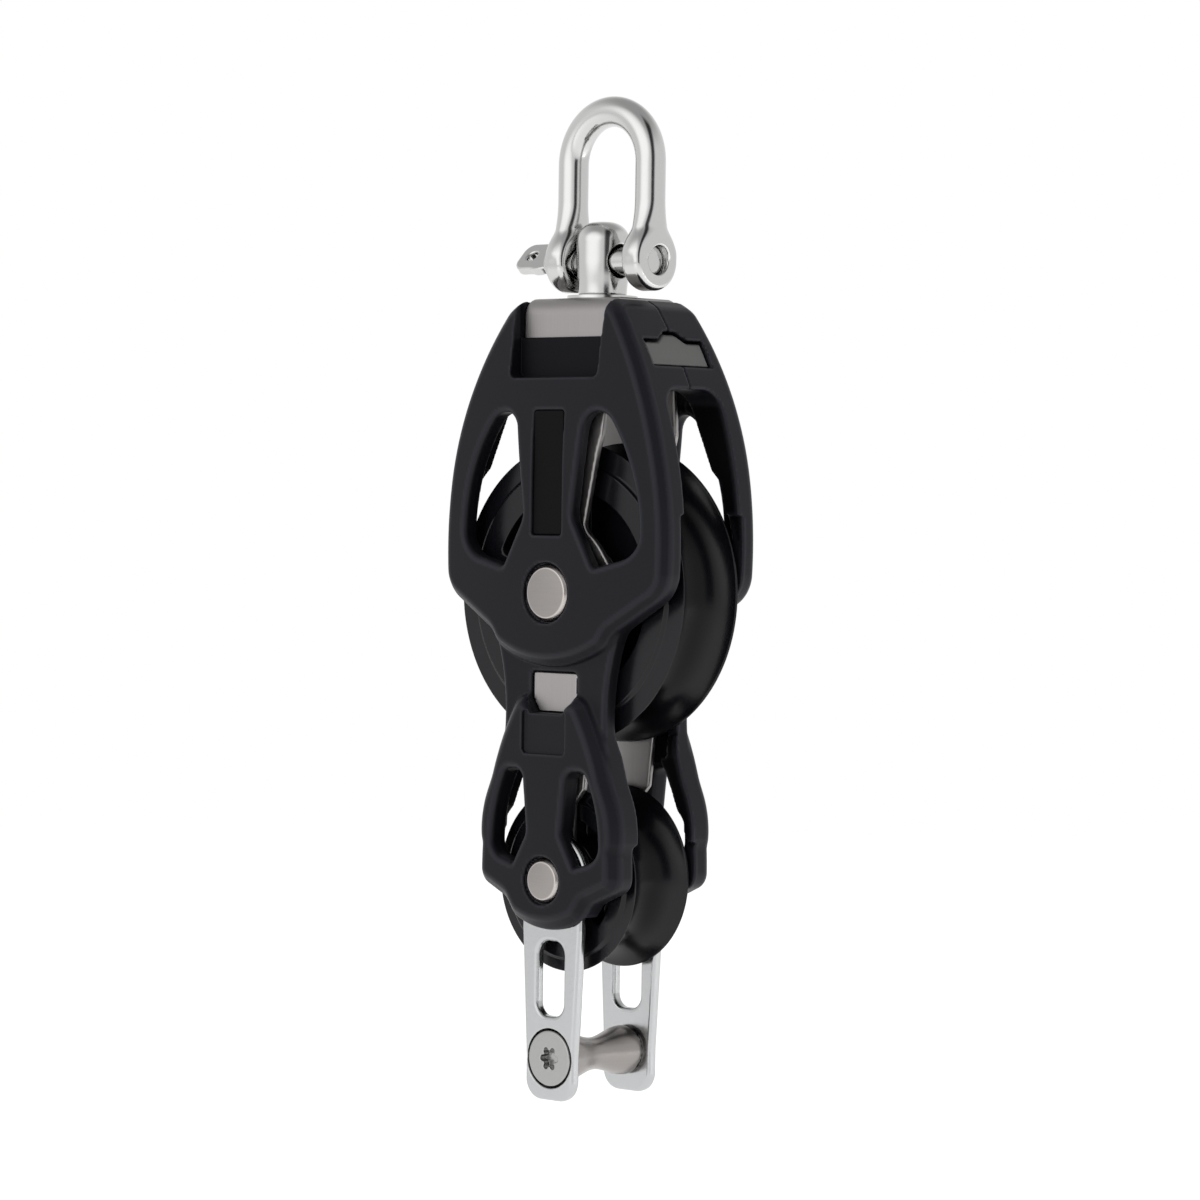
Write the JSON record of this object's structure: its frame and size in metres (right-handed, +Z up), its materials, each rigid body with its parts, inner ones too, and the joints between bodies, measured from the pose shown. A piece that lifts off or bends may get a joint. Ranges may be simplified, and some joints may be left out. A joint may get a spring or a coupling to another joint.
{
  "type": "fiddle block",
  "caption": "Fiddle block: a large rope sheave over a small one between black strap-backed cheeks, with a locking swivel shackle on top and a becket below, to be hung up and rove with rope.",
  "frame": {"origin": "inside of the shackle crown, where the block hangs, midway through the bar", "axes": "+Z up, along the block from the sheaves to the shackle; Y along the sheave axles, with the near cheek at -Y; +X across the block, towards the side with the lock slide"},
  "size_m": [0.06, 0.031, 0.1978],
  "materials": {
    "polished_steel": "polished stainless steel",
    "brushed_steel": "matt brushed stainless steel",
    "bronze": "plain bearing metal",
    "black_nylon": "satin, fine grain",
    "sheave_black": "satin",
    "grey_nylon": "satin",
    "label_black": "smooth satin"
  },
  "bodies": {
    "shackle": {"shackle_bow": "polished_steel"},
    "pin": {"shackle_pin": "polished_steel"},
    "swivel": {"swivel_eye": "polished_steel", "top_washer": "polished_steel", "thrust_washer": "bronze", "swivel_nut": "brushed_steel", "index_collar": "brushed_steel"},
    "frame": {"load_strap": "brushed_steel", "cheek_near": "black_nylon", "cheek_far": "black_nylon", "label_near": "label_black", "label_far": "label_black", "upper_axle": "brushed_steel", "lower_axle": "brushed_steel", "becket_plate_near": "polished_steel", "becket_plate_far": "polished_steel", "becket_spool": "polished_steel", "becket_screw_near": "brushed_steel", "becket_screw_far": "brushed_steel"},
    "lock": {"lock_slide": "grey_nylon"},
    "upper_wheel": {"upper_sheave": "sheave_black", "upper_sleeve": "bronze"},
    "lower_wheel": {"lower_sheave": "sheave_black", "lower_sleeve": "bronze"}
  },
  "joints": [
    {"name": "pin_slide", "type": "slide", "parent": "shackle", "child": "pin", "axis": [-1, 0, 0], "range_m": [0, 0.026]},
    {"name": "eye_swing", "type": "hinge", "parent": "shackle", "child": "swivel", "pos_m": [0, 0, -0.0266], "axis": [1, 0, 0], "range_deg": [-100, 100]},
    {"name": "block_swivel", "type": "hinge", "parent": "swivel", "child": "frame", "pos_m": [-0.002, 0, -0.0345], "axis": [0, 0, 1], "continuous": true},
    {"name": "lock_slide", "type": "slide", "parent": "frame", "child": "lock", "axis": [-1, 0, 0], "range_m": [0, 0.0024]},
    {"name": "upper_sheave_spin", "type": "hinge", "parent": "frame", "child": "upper_wheel", "pos_m": [-0.002, 0, -0.092], "axis": [0, 1, 0], "continuous": true},
    {"name": "lower_sheave_spin", "type": "hinge", "parent": "frame", "child": "lower_wheel", "pos_m": [-0.002, 0, -0.1484], "axis": [0, 1, 0], "continuous": true}
  ]
}
